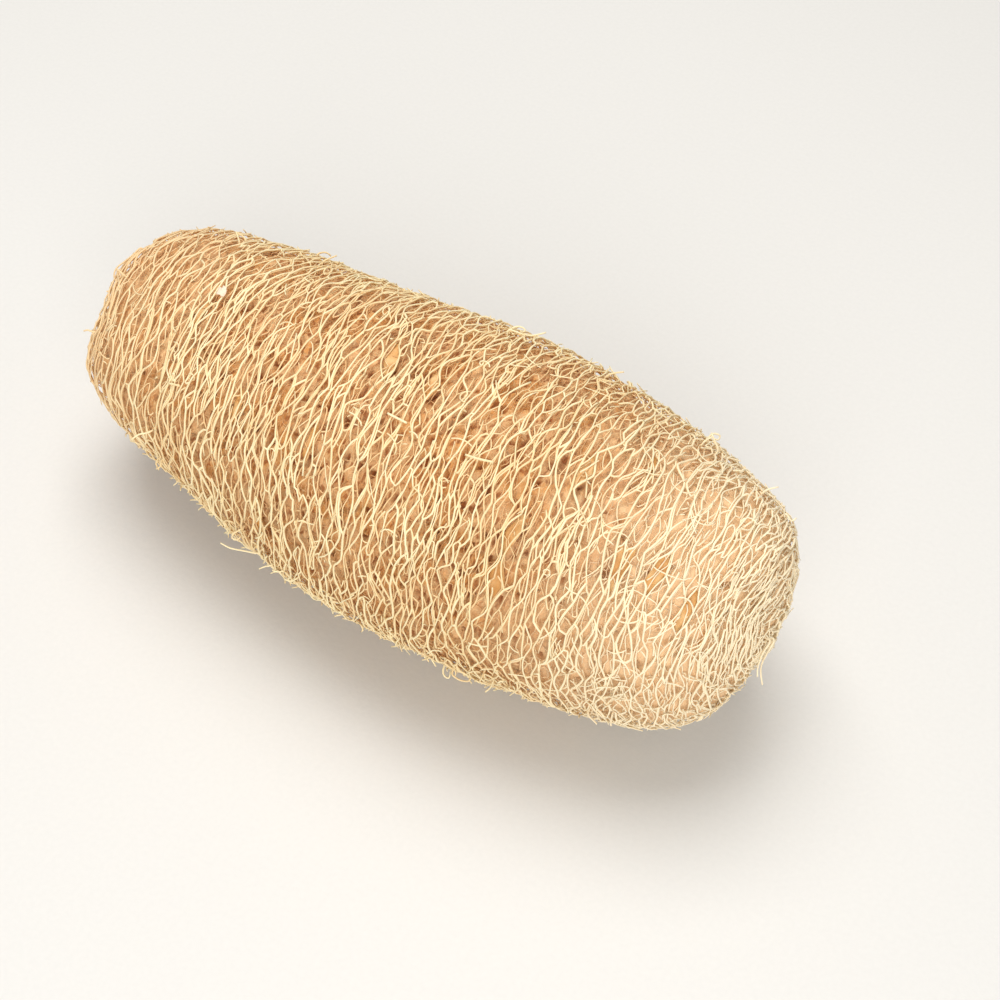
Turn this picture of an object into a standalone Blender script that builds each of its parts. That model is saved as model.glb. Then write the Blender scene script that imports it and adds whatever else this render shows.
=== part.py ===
"""Natural loofah sponge: the dried fibre skeleton of a luffa gourd, lying on its side.

It grew as one piece, so it is one closed solid: a blunt-ended barrel whose whole surface is a
raised net of ridges, with long narrow cells that run round the girth and rounder ones on the ends.
The barrel lies along X, its fatter end towards +X, and rests on a small flat spot at Z = 0. It is
slightly bent, as most gourds are.
"""

import math

import bmesh
import bpy
import numpy as np
from mathutils import Vector
from mathutils.geometry import delaunay_2d_cdt

# Driving dimensions, in metres
LENGTH = 0.179
WIDTH = 0.079
HEIGHT = 0.073

# Shape of the barrel. Each half tapers from the widest station to its end, and a blunt cap closes it
WIDEST_AT = 0.155         # where the barrel is widest, from -1 at one end to 1 at the other
TAPER = (0.41, 0.41)      # share of the radius lost by the far end and by the near end
BLUNTNESS = (18.0, 18.0)  # how late each cap starts to turn in
CAP_ROUNDNESS = (4.0, 1.3)
BEND = 0.0033             # how far the two ends bow up and back from the middle
FOOT_SINK = 0.0021        # how deep the ridges of the round belly are pressed flat where it rests
SWELLS = (                # slow swellings of the wall: height, waves round the girth, waves per metre, phase
    (0.0006, 2, 30.0, 0.4),
    (0.0004, 3, 75.0, 2.1),
    (0.0004, 5, 48.0, 4.0),
)

# The net, drawn coarser than life so that each cell still has its own ridges
CELL_WIDTH = 0.0048       # least spacing of the cells along the barrel
CELL_STRETCH = 3.1        # how many times longer the cells are round the girth
CAP_STRETCH = 1.1         # the same on the ends, where the cells are nearly round
CAP_REACH = 0.036         # length of wall, from each pole, over which the cells lengthen
SHOULDER_SCALE = 0.80     # the rounded top of a ridge ends here, against the cell's whole size
SHOULDER_DROP = 0.0004    # and this far below the ridge's crest
FLOOR_SCALE = 0.66        # size of a cell's floor, against the cell's whole size
FLOOR_DEPTH = (0.0015, 0.0025)
RIDGE_WAVE = 0.00035      # how far the ridges rise and dip at random
THROWS = 26000            # tries at placing a cell centre
SEED = 7

STRAW = (0.73, 0.49, 0.27, 1.0)


def clear_scene():
    for obj in list(bpy.data.objects):
        bpy.data.objects.remove(obj, do_unlink=True)


class Barrel:
    """The smooth wall that the net stands on, addressed by length along the wall and angle."""

    STATIONS = 801

    def __init__(self):
        along = -np.cos(np.linspace(0.0, math.pi, self.STATIONS))
        far = along < WIDEST_AT
        reach = np.where(far, 1 + WIDEST_AT, 1 - WIDEST_AT)
        depart = np.minimum(np.abs(along - WIDEST_AT) / reach, 1.0)
        taper = np.where(far, *TAPER)
        blunt = np.where(far, *BLUNTNESS)
        roundness = np.where(far, *CAP_ROUNDNESS)
        self.x = along * LENGTH / 2
        self.r = WIDTH / 2 * (1 - taper * depart**2) * (1 - depart**blunt) ** (1 / roundness)
        steps = np.hypot(np.diff(self.x), np.diff(self.r))
        self.s = np.concatenate(([0.0], np.cumsum(steps)))
        self.total = float(self.s[-1])

    def radius(self, s):
        return np.interp(s, self.s, self.r)

    def point(self, s, angle, lift=0.0):
        """A point of the wall, lift metres outside it."""
        swell = sum(h * np.sin(n * angle + k * s + p) for h, n, k, p in SWELLS)
        fade = np.clip(self.radius(s) / (WIDTH / 4), 0, 1)
        step = self.total / self.STATIONS
        run = np.interp(s + step, self.s, self.x) - np.interp(s - step, self.s, self.x)
        rise = self.radius(s + step) - self.radius(s - step)
        slope = math.atan2(run, -rise)
        out = lift + swell * fade
        x = np.interp(s, self.s, self.x) + out * math.cos(slope)
        r = self.radius(s) + out * math.sin(slope)
        bow = BEND * (2 * x / LENGTH) ** 2 * math.sqrt(0.5)
        squat = (HEIGHT + FOOT_SINK) / WIDTH
        return Vector((x, r * math.cos(angle) + bow, squat * r * math.sin(angle) + bow))


def stretch_at(barrel, s):
    """How many times longer than wide the cells are: long round the belly, round on the ends."""
    from_pole = np.minimum(s, barrel.total - s)
    share = np.clip(from_pole / CAP_REACH, 0, 1) ** 3
    return CAP_STRETCH + (CELL_STRETCH - CAP_STRETCH) * share


def scatter_cells(barrel):
    """Cell centres thrown at random on the wall, each kept only if it clears the ones before it."""
    rng = np.random.default_rng(SEED)
    area = np.concatenate(([0.0], np.cumsum(barrel.r[1:] * np.diff(barrel.s))))
    thrown_s = np.interp(rng.random(THROWS) * area[-1], area, barrel.s)
    thrown_angle = rng.random(THROWS) * 2 * math.pi
    # The two poles come first, so that a cell closes each end
    kept_s = [0.0, barrel.total]
    kept_angle = [0.0, 0.0]
    for s, angle in zip(thrown_s, thrown_angle):
        others_s = np.array(kept_s)
        turn = np.array(kept_angle) - angle
        turn = (turn + math.pi) % (2 * math.pi) - math.pi
        radius = (barrel.radius(others_s) + barrel.radius(s)) / 2
        round_girth = radius * turn / stretch_at(barrel, s)
        gap = np.hypot(others_s - s, round_girth)
        if gap.min() > CELL_WIDTH:
            kept_s.append(float(s))
            kept_angle.append(float(angle))
    return kept_s, kept_angle


def link_cells(barrel, seeds_s, seeds_angle):
    """Triangles between neighbouring cell centres.

    The wall is unrolled onto a plane like a polar map round the far pole, with the girth shrunk by
    the cells' stretch, so that long cells become round ones that a plain triangulation links well.
    The near pole lies at infinity: it joins every edge of the map's rim.
    """
    start = barrel.s[3]
    stations = np.linspace(start, barrel.total - start, 4000)
    rate = stretch_at(barrel, stations) / barrel.radius(stations)
    growth = np.concatenate(([0.0], np.cumsum((rate[1:] + rate[:-1]) / 2 * np.diff(stations))))
    growth -= growth[-1] / 2
    radii = np.exp(np.interp(seeds_s, stations, growth))
    flat = [Vector((r * math.cos(a), r * math.sin(a))) for r, a in zip(radii, seeds_angle)]
    flat[0] = Vector((0.0, 0.0))
    near_pole = 1
    inner = [i for i in range(len(flat)) if i != near_pole]
    found = delaunay_2d_cdt([flat[i] for i in inner], [], [], 0, 0.0)
    triangles = [tuple(inner[i] for i in face) for face in found[2]]
    sides = {(t[k], t[(k + 1) % 3]) for t in triangles for k in range(3)}
    rim = [(a, b) for a, b in sorted(sides) if (b, a) not in sides]
    return triangles + [(b, a, near_pole) for a, b in rim]


def triangle_middle(barrel, triangle, seeds_s, seeds_angle):
    """Where three cells meet: the mean of their places on the wall."""
    s = sum(seeds_s[i] for i in triangle) / 3
    across = sum(barrel.radius(seeds_s[i]) * math.cos(seeds_angle[i]) for i in triangle)
    up = sum(barrel.radius(seeds_s[i]) * math.sin(seeds_angle[i]) for i in triangle)
    return s, math.atan2(up, across)


def faces_round(vert):
    """The faces that meet at a vertex, in order round it."""
    first = loop = vert.link_loops[0]
    ring = []
    while True:
        ring.append(loop.face)
        loop = loop.link_loop_prev.link_loop_radial_next
        if loop == first:
            return ring


def cell_mesh(barrel):
    """The wall as one face for each cell of the net, meeting where three cells meet."""
    seeds_s, seeds_angle = scatter_cells(barrel)
    linked = bmesh.new()
    for s, angle in zip(seeds_s, seeds_angle):
        linked.verts.new(barrel.point(s, angle))
    linked.verts.ensure_lookup_table()
    triangles = link_cells(barrel, seeds_s, seeds_angle)
    for triangle in triangles:
        linked.faces.new([linked.verts[i] for i in triangle])
    linked.verts.index_update()
    linked.faces.index_update()

    rng = np.random.default_rng(SEED + 1)
    cells = bmesh.new()
    corners = []
    for triangle in triangles:
        s, angle = triangle_middle(barrel, triangle, seeds_s, seeds_angle)
        lift = RIDGE_WAVE * rng.uniform(-1, 1)
        corners.append(cells.verts.new(barrel.point(s, angle, lift)))
    for vert in linked.verts:
        cells.faces.new([corners[face.index] for face in faces_round(vert)])
    linked.free()
    bmesh.ops.recalc_face_normals(cells, faces=cells.faces)
    return cells


def sink_faces(cells, faces, scale, depths):
    """Extrudes each face by itself, shrinks it about its middle and sinks it by its own depth."""
    sunk = bmesh.ops.extrude_discrete_faces(cells, faces=faces)["faces"]
    for face, depth in zip(sunk, depths):
        middle = face.calc_center_median()
        inward = -face.normal * depth
        for vert in face.verts:
            vert.co = middle + (vert.co - middle) * scale + inward
    return sunk


def raise_net(cells):
    """Sinks the floor of every cell, so that the borders between cells stand up as rounded ridges."""
    rng = np.random.default_rng(SEED + 2)
    mouths = list(cells.faces)
    shoulders = sink_faces(cells, mouths, SHOULDER_SCALE, [SHOULDER_DROP] * len(mouths))
    falls = rng.uniform(*FLOOR_DEPTH, len(mouths)) - SHOULDER_DROP
    sink_faces(cells, shoulders, FLOOR_SCALE / SHOULDER_SCALE, falls)


def press_foot(cells):
    """Stands the barrel on Z = 0, with the lowest ridges of its round belly pressed flat there."""
    lowest = min(v.co.z for v in cells.verts)
    for vert in cells.verts:
        vert.co.z = max(vert.co.z - lowest - FOOT_SINK, 0.0)


def fit_to_size(cells):
    """Brings the outline to the driving dimensions, centred on X and Y and standing on Z = 0."""
    size = Vector((LENGTH, WIDTH, HEIGHT))
    low = Vector([min(v.co[k] for v in cells.verts) for k in range(3)])
    high = Vector([max(v.co[k] for v in cells.verts) for k in range(3)])
    target_low = Vector((-LENGTH / 2, -WIDTH / 2, 0.0))
    for vert in cells.verts:
        for k in range(3):
            share = (vert.co[k] - low[k]) / (high[k] - low[k])
            vert.co[k] = target_low[k] + share * size[k]


def fibre_material():
    material = bpy.data.materials.new("dried_fibre")
    material.use_nodes = True
    shader = material.node_tree.nodes["Principled BSDF"]
    shader.inputs["Base Color"].default_value = STRAW
    shader.inputs["Roughness"].default_value = 0.85
    shader.inputs["Metallic"].default_value = 0.0
    return material


def build_loofah():
    barrel = Barrel()
    cells = cell_mesh(barrel)
    raise_net(cells)
    press_foot(cells)
    fit_to_size(cells)
    mesh = bpy.data.meshes.new("loofah")
    cells.to_mesh(mesh)
    cells.free()
    mesh.materials.append(fibre_material())
    mesh.shade_smooth()
    mesh.set_sharp_from_angle(angle=math.radians(50))
    loofah = bpy.data.objects.new("loofah", mesh)
    parts = bpy.data.collections.new("natural_loofah")
    bpy.context.scene.collection.children.link(parts)
    parts.objects.link(loofah)
    corners = sum(len(p.vertices) - 2 for p in mesh.polygons)
    print("loofah:", len(mesh.polygons), "faces,", corners, "triangles")


clear_scene()
build_loofah()
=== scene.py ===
# %% [markdown]
# # A natural loofah sponge
# A loofah is the fibre skeleton of one luffa gourd. The fruit dries, its skin and seeds come away,
# and a light barrel of springy strands is left. Up close it is a net in several layers: strong pale
# strands run round the girth, finer ones lie below them, and a tan tissue fills the gaps.
# The lesson builds it from the inside out: tissue, inner web, under net, outer net, stray fibres.

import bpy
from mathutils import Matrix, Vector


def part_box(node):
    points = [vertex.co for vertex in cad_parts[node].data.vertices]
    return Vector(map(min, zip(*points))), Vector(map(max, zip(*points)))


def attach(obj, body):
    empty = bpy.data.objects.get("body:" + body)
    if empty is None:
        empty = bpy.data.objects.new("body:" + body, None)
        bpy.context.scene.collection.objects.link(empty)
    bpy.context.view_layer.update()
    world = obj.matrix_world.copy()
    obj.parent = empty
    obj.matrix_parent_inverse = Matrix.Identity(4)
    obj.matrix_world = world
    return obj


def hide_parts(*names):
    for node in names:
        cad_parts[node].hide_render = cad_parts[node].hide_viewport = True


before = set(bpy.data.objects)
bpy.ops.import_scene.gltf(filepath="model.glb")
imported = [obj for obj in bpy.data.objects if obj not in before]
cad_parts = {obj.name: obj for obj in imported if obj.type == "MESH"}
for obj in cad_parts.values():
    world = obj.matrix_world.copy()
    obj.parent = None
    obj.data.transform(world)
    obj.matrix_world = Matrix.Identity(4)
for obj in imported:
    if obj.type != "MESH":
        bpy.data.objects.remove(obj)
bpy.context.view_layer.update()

# %% Libraries
import math

import bpy
import numpy as np
from mathutils import Vector, noise
from mathutils.geometry import delaunay_2d_cdt

MM = 0.001                # the world is in metres
SEED = 20                 # every random draw below starts from this number
print("Blender", bpy.app.version_string, "and numpy", np.__version__)

# %% [markdown]
# ## The wall
# Every strand lies on or just under one smooth wall. It could be a sculpted mesh, but strands need
# places on it, so it is a formula instead: `s` is the length along the wall from the far pole, and
# `angle` is the turn round the girth. The numbers are those of the solid model.

# %% Profile of the barrel
LOW, HIGH = (Vector(corner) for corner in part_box("loofah"))
LENGTH, WIDTH, HEIGHT = HIGH - LOW
WIDEST_AT = 0.155         # where the barrel is widest, from -1 at the far end to 1 at the near end
TAPER = (0.41, 0.41)      # share of the radius lost by the far end and by the near end
BLUNTNESS = (18.0, 18.0)  # how late each end starts to turn in
CAP_ROUNDNESS = (4.0, 1.3)
BEND = 3.3 * MM           # how far the two ends bow up and back from the middle
FOOT_SINK = 2.1 * MM      # how deep the round belly is pressed flat where it rests
# Slow swellings of the wall: height in mm, waves round the girth, waves per metre, phase
SWELLS = ((0.6, 2, 30.0, 0.4), (0.4, 3, 75.0, 2.1), (0.4, 5, 48.0, 4.0))

along = -np.cos(np.linspace(0.0, math.pi, 1601))
far_part = along < WIDEST_AT
depart = np.abs(along - WIDEST_AT) / np.where(far_part, 1 + WIDEST_AT, 1 - WIDEST_AT)
depart = np.minimum(depart, 1.0)
WALL_X = along * LENGTH / 2
WALL_R = WIDTH / 2 * (1 - np.where(far_part, *TAPER) * depart**2)
WALL_R *= (1 - depart ** np.where(far_part, *BLUNTNESS)) ** (1 / np.where(far_part, *CAP_ROUNDNESS))
WALL_S = np.concatenate(([0.0], np.cumsum(np.hypot(np.diff(WALL_X), np.diff(WALL_R)))))
WALL_END = float(WALL_S[-1])
RISE = np.gradient(WALL_R, WALL_S)
RUN = np.gradient(WALL_X, WALL_S)
# Grows with the area of the wall up to each length, so that random places can be spread evenly
WALL_AREA = np.concatenate(([0.0], np.cumsum(WALL_R[1:] * np.diff(WALL_S))))
print("the wall is", round(WALL_END / MM, 1), "mm long from pole to pole")

# %% Places on the wall
SQUAT = (HEIGHT + FOOT_SINK) / WIDTH
MIDDLE_Y = 0.3 * MM       # the bow moves the middle of the barrel this much off its box's centre
MIDDLE_Z = (HEIGHT - FOOT_SINK) / 2 - 0.45 * MM
TILT = 3.0 * MM           # how far each hoop of the net leans over towards an end
TILT_SIDE = math.radians(124.6)


def radius_at(s):
    return np.interp(s, WALL_S, WALL_R)


def on_wall(s, angle, lift):
    """Points at length s along the wall, turned by angle, and lift metres outside it."""
    s, angle, lift = (np.asarray(v, float) for v in (s, angle, lift))
    fade = np.clip(radius_at(s) / (WIDTH / 4), 0, 1)
    s = np.clip(s + TILT * fade * np.sin(angle - TILT_SIDE), 0, WALL_END)
    swell = sum(h * MM * np.sin(n * angle + k * s + p) for h, n, k, p in SWELLS)
    rise, run = np.interp(s, WALL_S, RISE), np.interp(s, WALL_S, RUN)
    length = np.hypot(rise, run)
    out = lift + swell * fade
    x = np.interp(s, WALL_S, WALL_X) - out * rise / length
    r = radius_at(s) + out * run / length
    bow = BEND * (2 * x / LENGTH) ** 2 * math.sqrt(0.5)
    y = MIDDLE_Y + r * np.cos(angle) + bow
    return np.stack((x, y, MIDDLE_Z + SQUAT * r * np.sin(angle) + bow), axis=-1)


def rough(points, size, seed):
    """Smooth random numbers, mostly from -1 to 1, that change over a length of size metres."""
    shift = Vector((7.3 * seed, 3.1 * seed, 5.7 * seed))
    return np.array([1.6 * noise.noise(Vector(p) / size + shift) for p in points])


# %% [markdown]
# ## The camera, the floor and the light
# The camera comes first, so that every later step can be looked at. It looks down at 50 degrees on
# the sponge, which is turned 35 degrees. Its place could be found by hand; here it comes from the
# angles, the distance and the lens. The light is soft and comes mostly from above.

# %% Camera
AZIMUTH, ELEVATION = math.radians(34.6), math.radians(50.0)
DISTANCE = 0.40
PHOTO_SIZE = 1000
FOCAL_PX = 1725.5
CENTRE_PX = (423.0, 465.1)
centre = Vector((0.0, 0.0, HEIGHT / 2))
back = Vector((math.sin(AZIMUTH) * math.cos(ELEVATION), -math.cos(AZIMUTH) * math.cos(ELEVATION),
               math.sin(ELEVATION)))
lens = bpy.data.cameras.new("camera")
lens.sensor_width = 36.0
lens.lens = 36.0 * FOCAL_PX / PHOTO_SIZE
lens.shift_x = 0.5 - CENTRE_PX[0] / PHOTO_SIZE
lens.shift_y = CENTRE_PX[1] / PHOTO_SIZE - 0.5
camera = bpy.data.objects.new("camera", lens)
camera.location = centre + back * DISTANCE
camera.rotation_euler = (-back).to_track_quat("-Z", "Y").to_euler()
bpy.context.scene.collection.objects.link(camera)
bpy.context.scene.camera = camera
bpy.context.scene.view_settings.view_transform = "Standard"
print("the camera is", round(DISTANCE / MM), "mm away, with a lens of", round(lens.lens, 1), "mm")

# %% Pixels of the photo
MIDDLE_PX = (448, 478)        # the middle of the sponge in the photo
right = Vector((math.cos(AZIMUTH), math.sin(AZIMUTH), 0.0))
view_axes = np.array((right, back.cross(right), -back))
grid_s, grid_angle = (g.ravel() for g in np.meshgrid(
    np.linspace(0, WALL_END, 400), np.linspace(0, 2 * math.pi, 600, endpoint=False)))
grid_seen = (on_wall(grid_s, grid_angle, 0) - np.array(camera.location)) @ view_axes.T
grid_px = np.array(CENTRE_PX) + FOCAL_PX * grid_seen[:, :2] / grid_seen[:, 2:] * (1, -1)


def find_on_wall(pixel):
    """The place on the wall, as a row of the grid above, that shows at a pixel or nearest to it."""
    away = np.hypot(*(grid_px - pixel).T)
    near = np.flatnonzero(away < max(2.0, away.min() + 0.5))
    return near[np.argmin(grid_seen[near, 2])]


def place_at(pixel, depth):
    """The point that shows at a pixel, at this depth in front of the camera."""
    across, down = (np.array(pixel) - CENTRE_PX) / FOCAL_PX * depth
    return np.array(camera.location) + np.array((across, -down, depth)) @ view_axes


middle_row = find_on_wall(MIDDLE_PX)
print("the photo's middle pixel shows the wall at s =", round(grid_s[middle_row] / MM, 1), "mm")


# %% [markdown]
# ## Materials
# A material is a net of nodes. They could be placed by hand in the shader editor. Here they are
# written as sums, so that a finish reads like a recipe: noise gives the patches and the grain, and
# each mask blends two colours. The patterns sit on Object coordinates, which are in metres.

# %% Sums of nodes
class Wire:
    """The output of a node, with + - * that add Math nodes."""

    def __init__(self, finish, socket):
        self.finish, self.socket = finish, socket

    def sum_up(self, operation, first, second):
        return self.finish.node("ShaderNodeMath", {"operation": operation}, {0: first, 1: second})

    def __add__(self, other):
        return self.sum_up("ADD", self, other)

    def __sub__(self, other):
        return self.sum_up("SUBTRACT", self, other)

    def __mul__(self, other):
        return self.sum_up("MULTIPLY", self, other)

    def __radd__(self, other):
        return self.sum_up("ADD", other, self)

    def __rsub__(self, other):
        return self.sum_up("SUBTRACT", other, self)


# %% A finish
class Finish:
    """A material, and short ways to add nodes to it."""

    def __init__(self, name):
        self.material = bpy.data.materials.new(name)
        self.material.use_nodes = True
        self.tree = self.material.node_tree
        self.shader = self.tree.nodes["Principled BSDF"]

    def link(self, value, socket):
        if isinstance(value, Wire):
            self.tree.links.new(value.socket, socket)
        else:
            socket.default_value = value

    def node(self, kind, settings=None, sockets=None, output=0):
        """Adds a node: its settings first, then the values or wires of its sockets."""
        node = self.tree.nodes.new(kind)
        for key, value in (settings or {}).items():
            setattr(node, key, value)
        for key, value in (sockets or {}).items():
            self.link(value, node.inputs[key])
        return Wire(self, node.outputs[output])

    def spread(self, value, low, high):
        """Stretches low..high to 0..1, and holds it there."""
        return self.node("ShaderNodeMapRange", {"interpolation_type": "SMOOTHSTEP"},
                         {"Value": value, "From Min": low, "From Max": high})

    def mix(self, share, first, second):
        """Blends two colours."""
        return self.node("ShaderNodeMix", {"data_type": "RGBA"}, {0: share, 6: first, 7: second}, output=2)

    def cloud(self, size, detail, squash=None, **more):
        """Smooth noise from 0 to 1 whose patches are about size metres across."""
        place = self.node("ShaderNodeTexCoord", output=3)
        if squash:
            place = self.node("ShaderNodeVectorMath", {"operation": "MULTIPLY"}, {0: place, 1: squash})
        return self.node("ShaderNodeTexNoise", None,
                         {"Vector": place, "Scale": 1.0 / size, "Detail": detail, **more})

    def attribute(self, name):
        """A number that each point of the mesh carries."""
        return self.node("ShaderNodeAttribute", {"attribute_name": name}, output=2)

    def finish(self, colour, roughness, height, depth):
        """Links the shader's colour, its roughness and a bump that is depth metres high."""
        self.link(colour, self.shader.inputs["Base Color"])
        self.link(roughness, self.shader.inputs["Roughness"])
        bump = self.node("ShaderNodeBump", None, {"Height": height, "Distance": depth})
        self.link(bump, self.shader.inputs["Normal"])
        return self.material


def rgb(red, green, blue):
    """A colour as it is seen on screen, 0 to 255, turned into the light that a shader works with."""
    return tuple(((c / 255 + 0.055) / 1.055) ** 2.4 for c in (red, green, blue)) + (1.0,)


# %% Selecting and counting
def deselect():
    if bpy.context.object and bpy.context.object.mode != "OBJECT":
        bpy.ops.object.mode_set(mode="OBJECT")
    bpy.ops.object.select_all(action="DESELECT")


def select_only(thing):
    deselect()
    thing.select_set(True)
    bpy.context.view_layer.objects.active = thing


def tell(piece, *words):
    """Prints what a piece holds."""
    triangles = sum(len(p.vertices) - 2 for p in piece.data.polygons)
    print(piece.name, "has", *words, triangles, "triangles")


# %% Floor
deselect()
bpy.ops.mesh.primitive_plane_add(size=6.0, location=(0, 0, 0))
floor = bpy.context.object
floor.name = "floor"
paper = Finish("pale_floor")
grain = paper.cloud(0.0012, 3.0)
floor.data.materials.append(paper.finish(
    paper.mix(grain, rgb(224, 222, 218), rgb(230, 228, 224)), 0.8, grain, 0.00003))
tell(floor)


# %% Light
def soft_light(name, place, size, power, colour=(1, 1, 1)):
    lamp = bpy.data.lights.new(name, "AREA")
    lamp.size, lamp.energy, lamp.color = size, power, colour
    holder = bpy.data.objects.new(name, lamp)
    holder.location = place
    holder.rotation_euler = (centre - Vector(place)).to_track_quat("-Z", "Y").to_euler()
    bpy.context.scene.collection.objects.link(holder)


soft_light("key_light", (-0.15, 0.15, 0.85), 0.60, 5.8, (1.0, 0.99, 0.97))
soft_light("fill_light", (0.36, -0.59, 0.40), 0.6, 3.7)
world = bpy.data.worlds.new("studio")
world.use_nodes = True
world.node_tree.nodes["Background"].inputs["Color"].default_value = (1.0, 0.99, 0.97, 1.0)
world.node_tree.nodes["Background"].inputs["Strength"].default_value = 0.36
bpy.context.scene.world = world
print("lights:", *(lamp.name for lamp in bpy.data.lights))


# %% [markdown]
# ## Nets
# Each layer of the sponge is a net: cells of air with strands between them. Cell centres are
# scattered over the wall, neighbours are linked, and the borders between them are the strands.
# Cells are long round the girth and round on the ends, because the layer is scattered and linked
# on a map where the girth is shrunk.

# %% Stretch the cells
FAR_REACH, NEAR_REACH = 25 * MM, 16 * MM      # length of wall over which the cells lengthen
CAP_STRETCH = 1.2             # the cells on the ends are nearly round


def stretch_at(s, belly):
    """How many times longer than wide the cells are at s."""
    share = np.clip(np.minimum(s / FAR_REACH, (WALL_END - s) / NEAR_REACH), 0, 1) ** 2.5
    return CAP_STRETCH + (belly - CAP_STRETCH) * share


for place, s in (("far pole", 0.0), ("middle", WALL_END / 2), ("near pole", WALL_END)):
    print("at the", place, "an outer cell is", round(float(stretch_at(s, 5.0)), 1), "times as long as wide")

# %% Scatter the cells
SWING = 0.35                  # how much larger or smaller the cells are from place to place
# The cells are a little larger towards the far end and smaller towards the near end
SIZED_AT = (30 * MM, 70 * MM, WALL_END - 55 * MM, WALL_END - 25 * MM)
SIZES = (1.1, 1.0, 1.0, 0.88)


def scatter_cells(rng, spacing, belly, throws):
    """Random cell centres on the wall, none closer than about spacing to one kept before it."""
    thrown_s = np.interp(rng.random(throws) * WALL_AREA[-1], WALL_AREA, WALL_S)
    thrown_angle = rng.random(throws) * 2 * math.pi
    squashed = on_wall(thrown_s, thrown_angle, 0) * (1.0, 0.5, 0.5)
    local = spacing * (1 + SWING * rough(squashed, 7 * MM, rng.integers(99)))
    local *= np.interp(thrown_s, SIZED_AT, SIZES)
    stretches = stretch_at(thrown_s, belly)
    radii = radius_at(thrown_s)
    tall = local.max()
    rows = [[] for _ in range(int(WALL_END / tall) + 3)]
    kept = [(0.0, 0.0), (WALL_END, 0.0)]
    rows[1].append((0.0, 0.0, 0.0))
    rows[-2].append((WALL_END, 0.0, 0.0))
    for s, angle, gap, stretch, radius in zip(thrown_s, thrown_angle, local, stretches, radii):
        row = int(s / tall) + 1
        clear = True
        for other_s, other_angle, other_radius in rows[row - 1] + rows[row] + rows[row + 1]:
            turn = abs(other_angle - angle)
            girth = min(turn, 2 * math.pi - turn) * (radius + other_radius) / 2 / stretch
            if (other_s - s) ** 2 + girth**2 < gap**2:
                clear = False
                break
        if clear:
            kept.append((s, angle))
            rows[row].append((s, angle, radius))
    return np.array(kept).T


# %% Link the cells
def link_cells(seeds_s, seeds_angle, belly):
    """Triangles between neighbouring centres, found on a polar map that keeps their shape.

    The far pole, number 0, is the map's middle. The near pole, number 1, lies at infinity, and so it
    joins every edge of the map's rim.
    """
    start = WALL_S[3]
    stations = np.linspace(start, WALL_END - start, 8000)
    rate = stretch_at(stations, belly) / radius_at(stations)
    growth = np.concatenate(([0.0], np.cumsum((rate[1:] + rate[:-1]) / 2 * np.diff(stations))))
    radii = np.exp(np.interp(seeds_s, stations, growth - growth[-1] / 2))
    flat = [Vector((r * math.cos(a), r * math.sin(a))) for r, a in zip(radii, seeds_angle)]
    flat[0] = Vector((0.0, 0.0))
    inner = [i for i in range(len(flat)) if i != 1]
    found = delaunay_2d_cdt([flat[i] for i in inner], [], [], 0, 0.0)
    triangles = [tuple(inner[i] for i in face) for face in found[2]]
    sides = {(t[k], t[(k + 1) % 3]) for t in triangles for k in range(3)}
    rim = [(a, b) for a, b in sorted(sides) if (b, a) not in sides]
    return np.array(triangles + [(b, a, 1) for a, b in rim])


# %% The net of a layer
TOUCH = 0.21 * MM         # half the space between the middles of two strands that touch


class Net:
    """Junctions on the wall, three strands to each, and the edges between them.

    Its cells are about spacing metres wide, and belly times as long. A share of the short edges,
    closed, is shut. The junctions then stray along the barrel by about warp metres.
    """

    def __init__(self, seed, spacing, belly, throws, warp, closed=0.0):
        self.rng = np.random.default_rng(seed)
        seeds_s, seeds_angle = scatter_cells(self.rng, spacing, belly, throws)
        triangles = link_cells(seeds_s, seeds_angle, belly)
        self.s = seeds_s[triangles].mean(axis=1)
        radii, turns = radius_at(seeds_s)[triangles], seeds_angle[triangles]
        self.angle = np.arctan2((radii * np.sin(turns)).sum(axis=1), (radii * np.cos(turns)).sum(axis=1))
        sides = np.vstack([triangles[:, [k, (k + 1) % 3]] for k in range(3)])
        sides = np.sort(sides, axis=1)
        owner = np.tile(np.arange(len(triangles)), 3)
        self.edges = owner[np.lexsort((sides[:, 1], sides[:, 0]))].reshape(-1, 2)
        self.seeds, self.triangles = (seeds_s, seeds_angle), triangles
        self.shut = np.zeros(len(self.edges), bool)
        self.draw_together(closed, stretch_at(self.s, belly), spacing)
        fade = np.clip(np.minimum(self.s, WALL_END - self.s) / (20 * MM), 0, 1)
        places = on_wall(self.s, self.angle, 0)
        self.s += fade * warp * (rough(places, 9 * MM, seed) + 0.5 * rough(places, 3.5 * MM, seed + 1))
        print("a net of", len(seeds_s), "cells, with", self.shut.sum(), "edges shut")

    def draw_together(self, closed, stretch, spacing):
        """Shuts a share of the short edges that cross the run of long cells.

        Both junctions of such an edge move to its middle, so two strands touch there and part again.
        """
        first, second = self.edges.T
        along = self.s[second] - self.s[first]
        turn = (self.angle[second] - self.angle[first] + math.pi) % (2 * math.pi) - math.pi
        girth = turn * radius_at((self.s[first] + self.s[second]) / 2)
        length = np.hypot(along, girth)
        odds = closed * np.clip((stretch[first] - 1.3) / 2.0, 0, 1)
        crossing = (abs(along) > 0.5 * abs(girth)) & (length < 1.6 * spacing)
        crossing &= self.rng.random(len(along)) < odds
        used = set()
        for e in np.argsort(length):
            a, b = self.edges[e]
            if crossing[e] and a not in used and b not in used:
                used.update((a, b))
                self.shut[e] = True
                middle, apart = (self.s[a] + self.s[b]) / 2, TOUCH * math.copysign(1, along[e])
                self.s[a], self.s[b] = middle - apart, middle + apart
                self.angle[a] += turn[e] / 2
                self.angle[b] = self.angle[a]


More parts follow.
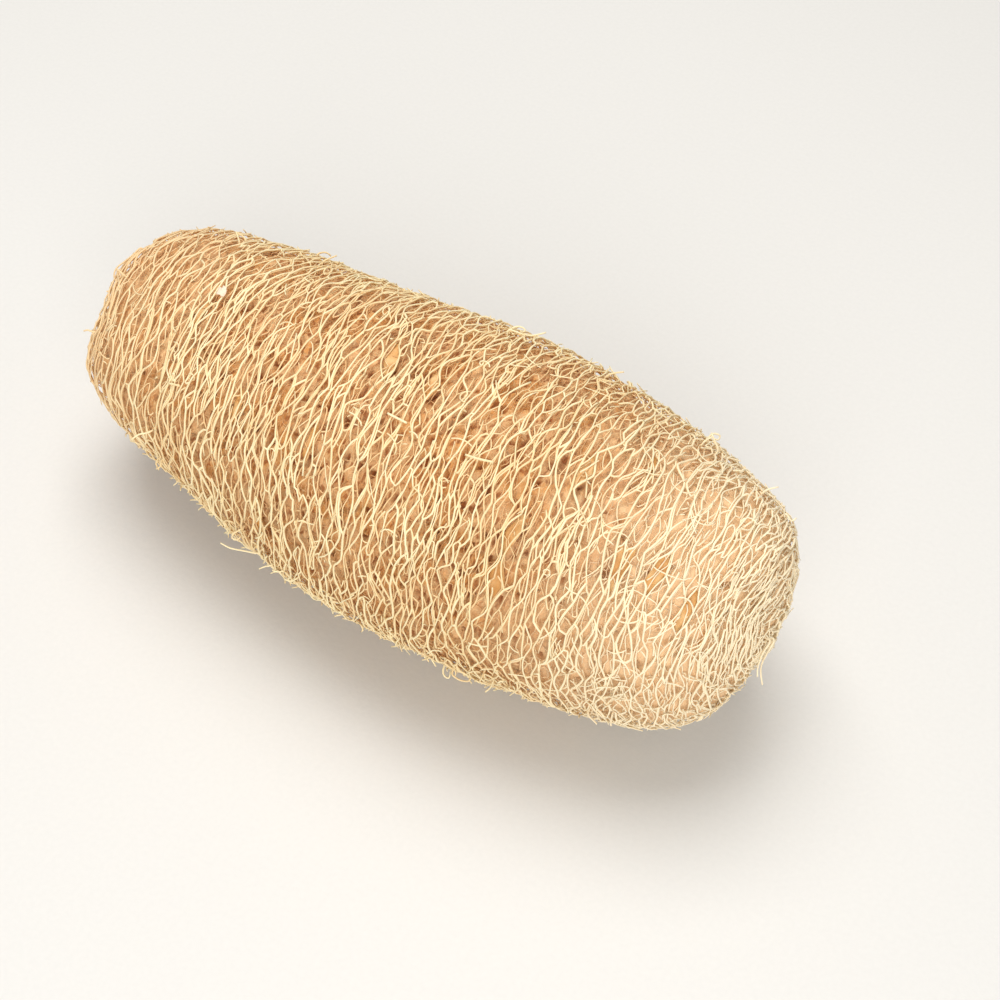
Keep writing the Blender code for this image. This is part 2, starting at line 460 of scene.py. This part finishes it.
# %% [markdown]
# ## From edges to strands
# A real strand runs on past many junctions, wanders a little and splits here and there. So the
# edges are threaded into long strands, which could also be drawn one by one as curves. Each path is
# smoothed and shaken, and a curve's round bevel gives it its thickness before it becomes a mesh.

# %% Thread the edges
def thread(net, places, missing, wander):
    """Joins, at every junction, the two edges that run on most nearly straight.

    Returns each strand as the junctions it passes. A share of the edges, missing, is left out, and
    at a share of the junctions, wander, any two edges are joined, which makes hooks and loops.
    """
    rng = net.rng
    kept = (rng.random(len(net.edges)) >= missing) & ~net.shut
    who = net.edges.T.ravel()
    edge = np.tile(np.arange(len(net.edges)), 2)
    other = net.edges[:, ::-1].T.ravel()
    order = np.argsort(who, kind="stable")
    edge, other = edge[order].reshape(-1, 3), other[order].reshape(-1, 3)
    away = places[other] - places[:, None, :]
    away /= np.linalg.norm(away, axis=2, keepdims=True) + 1e-12
    # The straighter two edges run on, the lower their cost. An edge that is left out costs 9
    pairs = ((0, 1), (0, 2), (1, 2))
    cost = np.stack([(away[:, a] * away[:, b]).sum(axis=1) for a, b in pairs], axis=1)
    turns_off = rng.random(len(cost)) < wander
    cost[turns_off] = rng.random((turns_off.sum(), 3))
    for k, (a, b) in enumerate(pairs):
        cost[~(kept[edge[:, a]] & kept[edge[:, b]]), k] = 9
    follow = {}
    for j, best in enumerate(np.argmin(cost, axis=1)):
        if cost[j, best] < 9:
            a, b = (edge[j, k] for k in pairs[best])
            follow[a, j], follow[b, j] = b, a
    strands, used = [], ~kept
    starts = [(e, j) for e in range(len(net.edges)) for j in net.edges[e] if (e, j) not in follow]
    for e, j in starts + [(e, net.edges[e][0]) for e in range(len(net.edges))]:
        if used[e]:
            continue
        strand = [j]
        while e is not None and not used[e]:
            used[e] = True
            j = net.edges[e][0] + net.edges[e][1] - j
            strand.append(j)
            e = follow.get((e, j))
        strands.append(strand)
    return strands, other


# %% Smooth a strand
def smooth(points, step):
    """A smooth run through all the points, in pieces of about step metres."""
    points = np.asarray(points)
    padded = np.vstack((2 * points[0] - points[1], points, 2 * points[-1] - points[-2]))
    runs = []
    for a, b, c, d in zip(padded, padded[1:], padded[2:], padded[3:]):
        count = max(1, round(float(np.linalg.norm((c - b)[:3])) / step))
        t = np.arange(count)[:, None] / count
        runs.append(0.5 * (2 * b + (c - a) * t + (2 * a - 5 * b + 4 * c - d) * t**2
                           + (3 * b - a - 3 * c + d) * t**3))
    return np.vstack(runs + [points[-1:]])


def pull_straight(values, strands, rounds):
    """Moves each junction towards the middle of its neighbours along the strand that runs on."""
    for _ in range(rounds):
        moved = values.copy()
        for strand in strands:
            inner = strand[1:-1]
            moved[inner] = values[inner] / 2 + (values[strand[:-2]] + values[strand[2:]]) / 4
        values = moved
    return values


def halve(values):
    """Adds a value between each two, where a smooth curve through them all would pass."""
    padded = np.concatenate(([2 * values[0] - values[1]], values, [2 * values[-1] - values[-2]]))
    halved = np.empty(2 * len(values) - 1)
    halved[0::2] = values
    halved[1::2] = (9 * (values[1:] + values[:-1]) - padded[:-3] - padded[3:]) / 16
    return halved


# %% Lay the strands
def lay_strands(net, lift, wave, sway, thickness, missing, wander, step, pull=0, tails=0.0, twins=0.0):
    """Gives every strand of a net its path and its thickness: rows of x, y, z, lift and radius.

    A share of the strands, twins, splits in two for a few millimetres.
    """
    rng = net.rng
    places = on_wall(net.s, net.angle, 0)
    strands, around = thread(net, places, missing, wander)
    net.s = pull_straight(net.s, strands, pull)
    places = on_wall(net.s, net.angle, 0)
    lifts = lift + wave * rough(places, 6 * MM, rng.integers(99))
    lifts = lifts + wave * 0.5 * rng.uniform(-1, 1, len(places))
    paths = []
    for strand in strands:
        radius = thickness * rng.uniform(0.8, 1.2)
        turned = np.unwrap(net.angle[strand])
        s_all, angle_all, high_all = (halve(v) for v in (net.s[strand], turned, lifts[strand]))
        s_all[1::2] += sway * rng.uniform(-1, 1, len(strand) - 1)
        high_all[1::2] += wave * rng.uniform(-0.6, 1.0, len(strand) - 1)
        rows = np.column_stack((on_wall(s_all, angle_all, high_all), high_all, np.full(len(s_all), radius)))
        rows[:, 4] *= rng.uniform(0.85, 1.15, len(rows))
        for first in np.flatnonzero(rng.random(len(rows) // 8) < twins) * 8:
            part = slice(first, first + rng.integers(4, 8))
            bulge = np.sqrt(np.sin(np.linspace(0, math.pi, len(s_all[part]))))
            apart = rng.choice((-1, 1)) * rng.uniform(0.45, 0.75) * MM * bulge
            twin_high = high_all[part] - rng.uniform(0, 0.3) * MM * bulge
            twin_radius = radius * rng.uniform(0.7, 0.9) * (0.5 + 0.5 * bulge)
            twin_at = on_wall(s_all[part] + apart, angle_all[part], twin_high)
            paths.append(np.column_stack((twin_at, twin_high, twin_radius)))
        for end in (0, -1):
            if rng.random() < tails:
                rows = add_tail(rng, rows, end, strand, places, around, lifts)
        paths.append(rows)
    paths = [smooth(rows, step) for rows in paths if len(rows) > 1]
    for path in paths:
        path[:, 4] = np.maximum(path[:, 4], 0.3 * thickness)
        path[:, 2] = np.maximum(path[:, 2], path[:, 4])
    return paths


def add_tail(rng, rows, end, strand, places, around, lifts):
    """Lets a strand's end run on beside the strand that it joins, and taper out."""
    here, before = strand[end], strand[1 if end == 0 else -2]
    heading = places[here] - places[before]

    def straightness(other):
        way = places[other] - places[here]
        return np.dot(way, heading) / np.linalg.norm(way)

    onward = max((other for other in around[here] if other != before), key=straightness)
    share = rng.uniform(0.25, 0.55)
    tail = np.append(rows[end][:3] + (places[onward] - places[here]) * share,
                     [lifts[here] * (1 - share) + lifts[onward] * share, rows[end][4] * 0.5])
    return np.vstack((tail, rows)) if end == 0 else np.vstack((rows, tail))


# %% Turn strands into tubes
def make_tubes(name, paths, sides, material):
    """One piece of round strands: a curve with a round bevel, converted to a mesh.

    Each point of the mesh keeps how high it lies on the sponge, and a random tone for its strand.
    """
    curve = bpy.data.curves.new(name, "CURVE")
    curve.dimensions = "3D"
    # A thickness of 1 metre is scaled by each point's radius. A bevel has 4 sides, and 2 more a step
    curve.bevel_depth = 1.0
    curve.bevel_resolution = sides // 2 - 2
    for path in paths:
        spline = curve.splines.new("POLY")
        spline.points.add(len(path) - 1)
        spline.points.foreach_set("co", np.column_stack((path[:, :3], np.ones(len(path)))).ravel())
        spline.points.foreach_set("radius", path[:, 4])
        spline.use_smooth = True
    piece = bpy.data.objects.new(name, curve)
    bpy.context.scene.collection.objects.link(piece)
    select_only(piece)
    bpy.ops.object.convert(target="MESH")
    piece = bpy.context.object
    bpy.ops.object.mode_set(mode="EDIT")
    bpy.ops.mesh.select_all(action="SELECT")
    bpy.ops.mesh.fill_holes(sides=sides)
    bpy.ops.mesh.normals_make_consistent(inside=False)
    bpy.ops.object.mode_set(mode="OBJECT")
    mesh = piece.data
    rng = np.random.default_rng(len(paths))
    tones = rng.random(len(paths))
    values = {"high": np.concatenate([path[:, 3] for path in paths]) / MM,
              "tone": np.concatenate([np.full(len(path), tone) for path, tone in zip(paths, tones)])}
    for key, value in values.items():
        mesh.attributes.new(key, "FLOAT", "POINT").data.foreach_set("value", np.repeat(value, sides))
    mesh.materials.clear()
    mesh.materials.append(material)
    bpy.ops.object.shade_smooth()
    stand_in(piece)
    tell(piece, len(paths), "strands and")


def stand_in(piece):
    """Lets a finished piece take the place of the solid."""
    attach(piece, "root")
    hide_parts("loofah")


# %% [markdown]
# ## The tissue
# Below the strands lies soft tan tissue, pitted with small holes; its deepest pits and some spots
# are painted dark brown as shade. It could be a copy of the solid, but that has a coarse net of its
# own. A UV sphere is already a closed barrel with poles and rings, so it is the start: it is added
# with its poles along X, and each ring is moved to its place on the wall. Noise presses the pits in.
# The tissue is fullest at the near end.

# %% Tissue colours
def tissue_finish():
    tissue = Finish("tissue")
    high = tissue.attribute("high")
    place = tissue.node("ShaderNodeTexCoord", output=3)
    bent = tissue.node("ShaderNodeTexNoise", None, {"Vector": place, "Scale": 1 / (1.6 * MM)}, output=1)
    shake = tissue.node("ShaderNodeVectorMath", {"operation": "SCALE"}, {0: bent, "Scale": 1.3 * MM})
    place = tissue.node("ShaderNodeVectorMath", {"operation": "ADD"}, {0: place, 1: shake})
    place = tissue.node("ShaderNodeVectorMath", {"operation": "MULTIPLY"}, {0: place, 1: (1.0, 0.5, 0.5)})
    border = tissue.node("ShaderNodeTexVoronoi", {"feature": "DISTANCE_TO_EDGE"},
                         {"Vector": place, "Scale": 1 / (0.9 * MM)})
    threads = 1.0 - tissue.spread(border, 0.03, 0.12)
    streaks = tissue.cloud(0.8 * MM, 3.0, (1.5, 0.6, 0.6), Distortion=1.0)
    patches = tissue.cloud(8 * MM, 3.0)
    tan = tissue.mix(streaks, rgb(208, 154, 100), rgb(244, 202, 148))
    warm = tissue.mix(streaks, rgb(200, 134, 70), rgb(236, 180, 110))
    body = tissue.mix(tissue.spread(patches, 0.46, 0.60), tan, warm)
    body = tissue.mix(threads * 0.4, body, rgb(248, 216, 162))
    x = tissue.node("ShaderNodeSeparateXYZ", None, {0: tissue.node("ShaderNodeTexCoord", output=3)})
    near, far = tissue.spread(x, 0.030, 0.070) * 0.85, (1.0 - tissue.spread(x, -0.092, -0.040)) * 0.4
    ends = near + far
    # Dark brown spots are painted into the tissue as shade, where gaps between fibres would look into the
    # dark inside; fewer at the ends
    painted_gap_shade = tissue.spread(tissue.cloud(1.3 * MM, 1.0, (1.3, 0.6, 0.6)), 0.54, 0.66) * (1.0 - ends)
    body = tissue.mix(painted_gap_shade * 0.8, body, rgb(164, 96, 44))
    body = tissue.mix(near, tissue.mix(far, body, rgb(232, 190, 140)), rgb(243, 208, 164))
    # The deepest pits are painted dark brown: painted shade in the pits, less at the ends
    painted_pit_shade = (1.0 - tissue.spread(high, -4.6, -3.2)) * (1.0 - ends)
    colour = tissue.mix(painted_pit_shade * 0.85, body, rgb(166, 92, 40))
    return tissue.finish(colour, 0.8, streaks * 0.5 + threads * 0.5, 0.0001)


# %% Start the tissue
deselect()
bpy.ops.mesh.primitive_uv_sphere_add(segments=220, ring_count=190, radius=WIDTH / 2, location=centre,
                                     rotation=(0, math.pi / 2, 0))
core = bpy.context.object
core.name = "tissue"
bpy.ops.object.transform_apply(location=True, rotation=True, scale=True)
points = np.empty(len(core.data.vertices) * 3)
core.data.vertices.foreach_get("co", points)
points = points.reshape(-1, 3) - np.array(centre)
from_far = 1 - np.arccos(np.clip(points[:, 0] / (WIDTH / 2), -1, 1)) / math.pi
core_s, core_angle = from_far * WALL_END, np.arctan2(points[:, 2], points[:, 1])
print("the sphere has", len(points), "points")

# %% Shape the tissue
TISSUE_DEPTH = 2.4 * MM       # how far below the wall it lies
base = on_wall(core_s, core_angle, 0)
lumps = rough(base, 4.5 * MM, 3)
belly = np.clip(np.minimum(core_s - 25 * MM, WALL_END - 35 * MM - core_s) / (20 * MM), 0, 1)
pits = rough(base * (1.0, 0.6, 0.6), 1.4 * MM, 8) - 0.66 + 0.35 * belly
pits = np.clip(pits, 0, 0.5) * 5.0 * MM
near_share = np.clip((core_s - WALL_END) / (35 * MM) + 1.7, 0, 1)
far_share = np.clip(1.6 - core_s / (45 * MM), 0, 1)
high = -TISSUE_DEPTH * (1 - 0.42 * near_share - 0.3 * far_share)
high = high + lumps * 0.5 * MM - pits + rough(base, 1.3 * MM, 12) * 0.25 * MM
points = on_wall(core_s, core_angle, high)
points[:, 2] = np.maximum(points[:, 2], 0.6 * MM)
core.data.vertices.foreach_set("co", points.ravel())
core.data.attributes.new("high", "FLOAT", "POINT").data.foreach_set("value", high / MM)
core.data.materials.append(tissue_finish())
bpy.ops.object.shade_smooth()
stand_in(core)
tell(core)


# %% [markdown]
# ## The strands
# Three nets lie over the tissue. The innermost is fine and runs every way. Above it lies a thin
# net round the girth, and the outer net has the strong pale strands that catch the light. One net
# could be given three thicknesses, but real layers cross each other, so each has cells of its own.

# %% Strand colours
BLEACHED = rgb(254, 238, 205)     # the strands of the near end
DULL = rgb(236, 200, 152)         # the strands of the far end


def strand_finish(name, deep, mid, pale):
    """Strands are painted darker the lower they lie in the sponge, as shade, and each has a tone of its
    own.
    """
    fibre = Finish(name)
    high, tone = fibre.attribute("high"), fibre.attribute("tone")
    place = fibre.node("ShaderNodeTexCoord", output=3)
    x = fibre.node("ShaderNodeSeparateXYZ", None, {0: place})
    grain = fibre.cloud(0.5 * MM, 3.0, (0.6, 1.0, 1.0))
    patches = fibre.cloud(14 * MM, 2.0)
    # Strands that lie lower are painted darker as shade; tone, patches and grain are the fibres' own colour
    painted_shade_and_tone = fibre.spread(high, -1.8, 0.4) * 0.45 + tone * 0.5 + (patches - 0.5) * 0.6 + (grain - 0.5) * 0.5
    colour = fibre.mix(fibre.spread(painted_shade_and_tone, -0.05, 0.4), deep, mid)
    colour = fibre.mix(fibre.spread(painted_shade_and_tone, 0.4, 0.9), colour, pale)
    bleach = fibre.spread(x, 0.034, 0.076) * 0.85
    colour = fibre.mix(bleach, colour, BLEACHED)
    dull = (1.0 - fibre.spread(x, -0.092, -0.045)) * 0.7
    colour = fibre.mix(dull, colour, DULL)
    return fibre.finish(colour, 0.55 + grain * 0.3, grain, 0.00008)


# %% Inner web
web = Net(SEED + 1, 2.0 * MM, 1.7, 40000, 0.6 * MM)
paths = lay_strands(web, lift=-1.8 * MM, wave=0.5 * MM, sway=0.35 * MM, thickness=0.125 * MM,
                    missing=0.12, wander=0.3, step=1.25 * MM, pull=1)
# The inner web's colours are darker than the outer net's: painted shade for the deepest layer
make_tubes("inner_web", paths, 4, strand_finish("inner_fibre", rgb(212, 160, 104), rgb(234, 192, 138),
                                                rgb(246, 218, 168)))

# %% Under net
under = Net(SEED + 2, 1.4 * MM, 3.8, 70000, 1.2 * MM, closed=0.6)
paths = lay_strands(under, lift=-0.85 * MM, wave=0.4 * MM, sway=0.25 * MM, thickness=0.175 * MM,
                    missing=0.12, wander=0.12, step=1.2 * MM)
half = len(paths) // 2
paths.sort(key=lambda path: path[:, 0].mean())
# The under net's colours lie between the inner web's and the outer net's: painted shade by depth
under_finish = strand_finish("under_fibre", rgb(230, 186, 128), rgb(246, 213, 160), rgb(250, 229, 180))
for name, part in (("under_net_far", paths[:half]), ("under_net_near", paths[half:])):
    make_tubes(name, part, 4, under_finish)

# %% Outer net
outer = Net(SEED + 3, 1.38 * MM, 5.0, 90000, 1.2 * MM, closed=0.85)
paths = lay_strands(outer, lift=-0.2 * MM, wave=0.4 * MM, sway=0.28 * MM, thickness=0.215 * MM,
                    missing=0.07, wander=0.09, step=1.15 * MM, tails=0.5, twins=0.35)
paths.sort(key=lambda path: path[:, 0].mean())
outer_finish = strand_finish("outer_fibre", rgb(234, 194, 138), rgb(247, 220, 168), rgb(253, 237, 192))
third = len(paths) // 3
for name, part in (("outer_net_far", paths[:third]), ("outer_net_middle", paths[third:2 * third]),
                   ("outer_net_near", paths[2 * third:])):
    make_tubes(name, part, 6, outer_finish)


# %% [markdown]
# ## Loose fibres
# Where the skin was peeled off, strands broke. Their ends lie bent on the net or stand up from it
# as short whiskers. They could be hair particles, but those aren't mesh. Each is a short walk on
# the wall from a random place instead, with its root in the net.

# %% A bent fibre
STEP = 0.8 * MM               # the length of one step of the walk


def walk(rng, length, rise, radius, lean, curl=0.12, reach=(0, 1), turns=(0, 360)):
    """A bent fibre: rows of x, y, z, lift and radius, from its root to its thin tip.

    It sets out within lean radians of the girth, and turns by about curl radians at each step. Its
    root lies between two shares of the wall's area, reach, from the far pole, and between two turns
    round the girth in degrees.
    """
    count = max(3, round(length / STEP) + 1)
    along = np.linspace(0, 1, count)
    s = np.interp(rng.uniform(*np.clip(reach, 0.002, 0.998)) * WALL_AREA[-1], WALL_AREA, WALL_S)
    heading = rng.normal(0, lean) + (rng.random() < 0.5) * math.pi
    heading = heading + np.cumsum(rng.normal(rng.normal(0, curl), 0.12, count))
    run = math.sqrt(max(length**2 - rise**2, 0)) / (count - 1)
    aside, onward = run * np.sin(heading), run * np.cos(heading)
    s = np.clip(s + np.cumsum(aside) - aside[0], 0.5 * MM, WALL_END - 0.5 * MM)
    angle = np.cumsum(onward / np.maximum(radius_at(s), 3 * MM))
    angle = math.radians(rng.uniform(*turns)) + angle
    lifts = -0.35 * MM + (rise + 0.35 * MM) * along ** 1.4
    sizes = radius * (1 - 0.3 * along**2)
    points = on_wall(s, angle, lifts)
    points[:, 2] = np.maximum(points[:, 2], sizes)
    return np.column_stack((points, lifts, sizes))


def many(count, length, rise, radius, **more):
    """Fibres whose length, rise and radius are drawn between two values each, in mm."""
    return [walk(rng, *(rng.uniform(*span) * MM for span in (length, rise, radius)), **more)
            for _ in range(count)]


# %% Loose fibres
LOW_FRONT, LOW_NEAR_END = (180, 235), (180, 270)      # the most frayed turns of the girth
rng = np.random.default_rng(SEED + 4)
# Long ends that lie along the strands, hooks, short whiskers, and ends that wind round the near end
paths = many(320, (3, 9), (0.1, 0.9), (0.14, 0.22), lean=0.35, curl=0.05)
paths += many(260, (2.5, 5.5), (0.3, 1.2), (0.15, 0.22), lean=0.8, curl=0.45)
paths += many(420, (0.8, 2.0), (0.3, 0.8), (0.15, 0.22), lean=1.2)
paths += many(260, (4, 10), (0.1, 0.4), (0.15, 0.21), lean=0.3, reach=(0.8, 1))
# The fringe of thick curls along the low side
paths += many(100, (1.8, 4.0), (0.6, 1.4), (0.21, 0.28), lean=0.8, curl=0.7, reach=(0.1, 0.75),
              turns=LOW_FRONT)
paths += many(60, (1.5, 3.0), (0.2, 0.7), (0.21, 0.28), lean=0.7, curl=0.8, reach=(0.72, 0.98),
              turns=LOW_NEAR_END)
make_tubes("loose_fibres", paths, 4, outer_finish)

# %% [markdown]
# Some fibres stand out from the sponge's outline in the photo. Each is traced here by a few of the
# photo's pixels, from its root to its tip. The root is found on the wall, and the rest of the fibre
# keeps the root's distance from the camera. Three more lie across the net.

# %% Pixels of the outlying fibres
OUTLINE_FIBRES = {
    "far end, open loop": ((141, 248), (133, 255), (124, 262), (116.4, 268.3), (114, 276), (117, 283)),
    "far end, its short branch": ((124, 275), (120, 271.5), (116.4, 268.3)),
    "far end, stub": ((93, 332), (88, 330), (83.5, 331)),
    "low left, raised end": ((147, 433), (139, 434.5), (131, 440)),
    "low left, tuft": ((158, 459), (156, 464), (159, 470)),
    "low left, tuft's twin": ((161, 461), (161, 466), (156, 469)),
    "low left, small ring": ((240, 530), (234, 533), (232, 538), (237, 540), (241, 536)),
    "low middle, longest": ((258, 553), (250, 552), (242, 550.5), (230, 548), (220.5, 543)),
    "low middle, stub": ((272, 565), (265, 566.5), (259, 569)),
    "low middle, splinter": ((283, 571), (277, 571.5), (272, 570)),
    "low middle, second splinter": ((296, 579), (290, 581), (284, 579)),
    "low right, wide loop": ((452, 673), (455, 677), (461, 680.5), (469, 681), (472, 675)),
    "low right, narrow loop": ((443, 670), (444.5, 676), (449, 678), (450.5, 671)),
    "low right, hook": ((493, 682), (490, 688), (485, 692)),
    "low right, bent end": ((482, 677), (480, 682), (487, 684)),
    "bottom, first stub": ((588, 714), (592, 719), (597, 724)),
    "bottom, second stub": ((612, 716), (611, 721), (611, 726)),
    "bottom, third stub": ((631, 719), (627, 722), (622, 725)),
    "near end, hanging": ((774, 640), (768, 651.5), (761.5, 665), (761, 675), (762.5, 685)),
    "near end, its shorter twin": ((770, 641), (763, 653), (758, 667), (757.5, 677)),
    "near end, tuft": ((786, 514), (791, 521), (796.5, 518)),
    "near end, fork": ((765, 491), (771, 488.5), (778.5, 487)),
    "top right, tall twig": ((718, 451), (716, 444), (713, 437), (711.5, 432.5)),
    "top right, its side": ((704, 442), (709, 438.5), (713, 437)),
    "top right, its crook": ((712, 434), (720, 435.5), (718, 440), (714.5, 439)),
    "top middle, stub": ((607, 376), (614.5, 373), (624, 372)),
    "top middle, raised end": ((509, 330), (523, 334.5), (533, 335.5), (546, 332.5)),
    "top middle, ring": ((511, 329), (519.5, 326.5), (525.5, 330), (521.5, 333)),
    "top left, bright stub": ((323, 262), (328, 259), (337, 255.5)),
    "top left, crook": ((318, 254), (326, 252.5), (331, 256)),
    "far top, tooth": ((239, 241), (237.5, 236), (236, 231.5)),
    "far top, tooth's side": ((246, 241), (242.5, 236), (237, 232.5)),
}
LYING_FIBRES = {
    "stub across the upper middle": ((389, 413), (397, 418), (406, 423)),
    "stub across the middle": ((466, 454), (479, 458), (493, 461)),
    "stub at the far end": ((169, 383), (180, 387)),
}
print(len(OUTLINE_FIBRES), "fibres stand off the outline and", len(LYING_FIBRES), "lie on the net")


# %% Outlying fibres
def trace(pixels, radius):
    """A fibre that shows at these pixels, rooted in the wall behind the first one."""
    root = find_on_wall(pixels[0])
    depth = grid_seen[root, 2]
    rows = [on_wall(grid_s[root], grid_angle[root], -1.5 * MM)] + [place_at(p, depth) for p in pixels]
    sizes = radius * np.linspace(1.1, 0.75, len(rows))
    lifts = np.linspace(-0.5 * MM, 1.0 * MM, len(rows))
    path = smooth(np.column_stack((rows, lifts, sizes)), 0.7 * MM)
    path[:, 2] = np.maximum(path[:, 2], path[:, 4])
    return path


def lay_over(pixels, radius):
    """A fibre that lies on the net and shows at these pixels."""
    rows = [find_on_wall(pixel) for pixel in pixels]
    lifts = np.full(len(rows), 0.5 * MM)
    return smooth(np.column_stack((on_wall(grid_s[rows], grid_angle[rows], lifts), lifts,
                                   np.full(len(rows), radius))), 0.7 * MM)


paths = [trace(pixels, 0.24 * MM) for pixels in OUTLINE_FIBRES.values()]
paths += [lay_over(pixels, 0.26 * MM) for pixels in LYING_FIBRES.values()]
make_tubes("outline_fibres", paths, 6, outer_finish)

# %% [markdown]
# ## Amber films
# A few cells still hold a smooth film of dried pulp, amber and a little glossy. A film could be a
# face between the strands, but a film is thin, dished and soft at its rim. So one small disc is
# modelled once, and each copy is stretched to the outline of its cell and dished in its middle.

# %% Film finish
def film_finish():
    film = Finish("film")
    veins = film.cloud(0.7 * MM, 3.0, (1.4, 0.6, 0.6), Distortion=1.0)
    patches = film.cloud(4 * MM, 2.0)
    colour = film.mix(veins, rgb(200, 138, 68), rgb(230, 180, 110))
    colour = film.mix(film.spread(patches, 0.4, 0.7), colour, rgb(232, 192, 132))
    return film.finish(colour, 0.42 + veins * 0.2, veins, 0.0001)


# %% One disc
deselect()
bpy.ops.mesh.primitive_circle_add(vertices=12, radius=1.0, fill_type="TRIFAN")
disc = bpy.context.object
disc.name = "disc"
rounder = disc.modifiers.new("Rounder", "SUBSURF")
rounder.levels = rounder.render_levels = 1
bpy.ops.object.modifier_apply(modifier="Rounder")
sheet = disc.modifiers.new("Sheet", "SOLIDIFY")
sheet.thickness, sheet.offset = 0.1, 0
bpy.ops.object.modifier_apply(modifier="Sheet")
tell(disc)

# %% Fill a cell
shape = np.empty(len(disc.data.vertices) * 3)
disc.data.vertices.foreach_get("co", shape)
shape = shape.reshape(-1, 3)
out, turn = np.hypot(shape[:, 0], shape[:, 1]), np.arctan2(shape[:, 1], shape[:, 0])


def fill_cell(net, seed, depth):
    """Where the disc's points go to fill one cell of a net."""
    around = np.flatnonzero((net.triangles == seed).any(axis=1))
    s, angle = net.s[around], np.unwrap(net.angle[around])
    mid_s, mid_angle = s.mean(), angle.mean()
    reach = radius_at(mid_s)
    rim = np.column_stack((s - mid_s, (angle - mid_angle) * reach))
    ways = np.arctan2(rim[:, 1], rim[:, 0])
    order = np.argsort(ways)
    ways, rim = ways[order], rim[order]
    places = [np.interp(turn, ways, rim[:, k], period=2 * math.pi) * out for k in (0, 1)]
    lifts = -depth - 0.4 * MM * (1 - out**2) + shape[:, 2] * MM
    points = on_wall(mid_s + places[0], mid_angle + places[1] / reach, lifts)
    points[:, 2] = np.maximum(points[:, 2], 0.3 * MM + shape[:, 2] * MM)
    return points


# %% Choose the cells
AMBER_PX = ((620, 574), (626, 562), (680, 610), (674, 620), (516, 535), (665, 560), (700, 640), (655, 470))
RANDOM_FILMS = 30
rng = np.random.default_rng(SEED + 5)
seeds_s, seeds_angle = outer.seeds
seeds_at = on_wall(seeds_s, seeds_angle, 0)
inland = np.flatnonzero((seeds_s > 40 * MM) & (seeds_s < WALL_END - 60 * MM))
chosen = set(rng.choice(inland, RANDOM_FILMS, replace=False))
for pixel in AMBER_PX:
    row = find_on_wall(pixel)
    place = on_wall(grid_s[row], grid_angle[row], 0)
    chosen.add(int(np.argmin(np.linalg.norm(seeds_at - place, axis=1))))
chosen -= {0, 1}
print(len(chosen), "cells get a film")

# %% Films
films = []
depths = np.interp(seeds_s, (WALL_END - 60 * MM, WALL_END - 35 * MM), (1.25 * MM, 0.75 * MM))
for seed in sorted(chosen):
    film = disc.copy()
    film.data = disc.data.copy()
    bpy.context.scene.collection.objects.link(film)
    film.data.vertices.foreach_set("co", fill_cell(outer, seed, depths[seed]).ravel())
    films.append(film)
bpy.data.objects.remove(disc, do_unlink=True)
select_only(films[0])
for film in films:
    film.select_set(True)
bpy.ops.object.join()
films = bpy.context.object
films.name = "amber_films"
films.data.materials.append(film_finish())
bpy.ops.object.mode_set(mode="EDIT")
bpy.ops.mesh.select_all(action="SELECT")
bpy.ops.mesh.normals_make_consistent(inside=False)
bpy.ops.object.mode_set(mode="OBJECT")
bpy.ops.object.shade_smooth()
stand_in(films)
tell(films, len(chosen), "films and")

# %% [markdown]
# ## A flake of skin
# One pale flake of the gourd's skin has stayed on the far end. It could be cut from a plane, but a
# round sheet is nearer to its shape: noise tears its rim and curls it, and Solidify thickens it.

# %% Flake
FLAKE_PX = (223, 291)
flake_row = find_on_wall(FLAKE_PX)
flake_at = on_wall(grid_s[flake_row], grid_angle[flake_row], 0.35 * MM)
outward = Vector(flake_at - on_wall(grid_s[flake_row], grid_angle[flake_row], 0)).to_track_quat("Z", "Y")
deselect()
bpy.ops.mesh.primitive_circle_add(vertices=20, radius=1.3 * MM, fill_type="TRIFAN", location=flake_at,
                                  rotation=outward.to_euler())
flake = bpy.context.object
flake.name = "pale_flake"
bpy.ops.object.mode_set(mode="EDIT")
bpy.ops.mesh.subdivide(number_cuts=3)
bpy.ops.object.mode_set(mode="OBJECT")
places = np.array([v.co for v in flake.data.vertices])
torn = rough(places, 0.8 * MM, 31)[:, None] * 0.35
places *= (1 + torn) * (1.25, 0.85, 1.0)
places[:, 2] += rough(places, 0.9 * MM, 32) * 0.25 * MM
flake.data.vertices.foreach_set("co", places.ravel())
sheet = flake.modifiers.new("Sheet", "SOLIDIFY")
sheet.thickness, sheet.offset = 0.12 * MM, 0
bpy.ops.object.modifier_apply(modifier="Sheet")
bpy.ops.object.transform_apply(location=True, rotation=True, scale=True)
bpy.ops.object.shade_smooth()
stand_in(flake)
tell(flake)

# %% Flake finish
skin = Finish("skin_flake")
speckle = skin.cloud(0.4 * MM, 3.0)
flake_colour = skin.mix(speckle, rgb(240, 206, 172), rgb(255, 238, 218))
flake.data.materials.append(skin.finish(flake_colour, 0.7, speckle, 0.0001))
print("the flake's finish is", flake.data.materials[0].name)
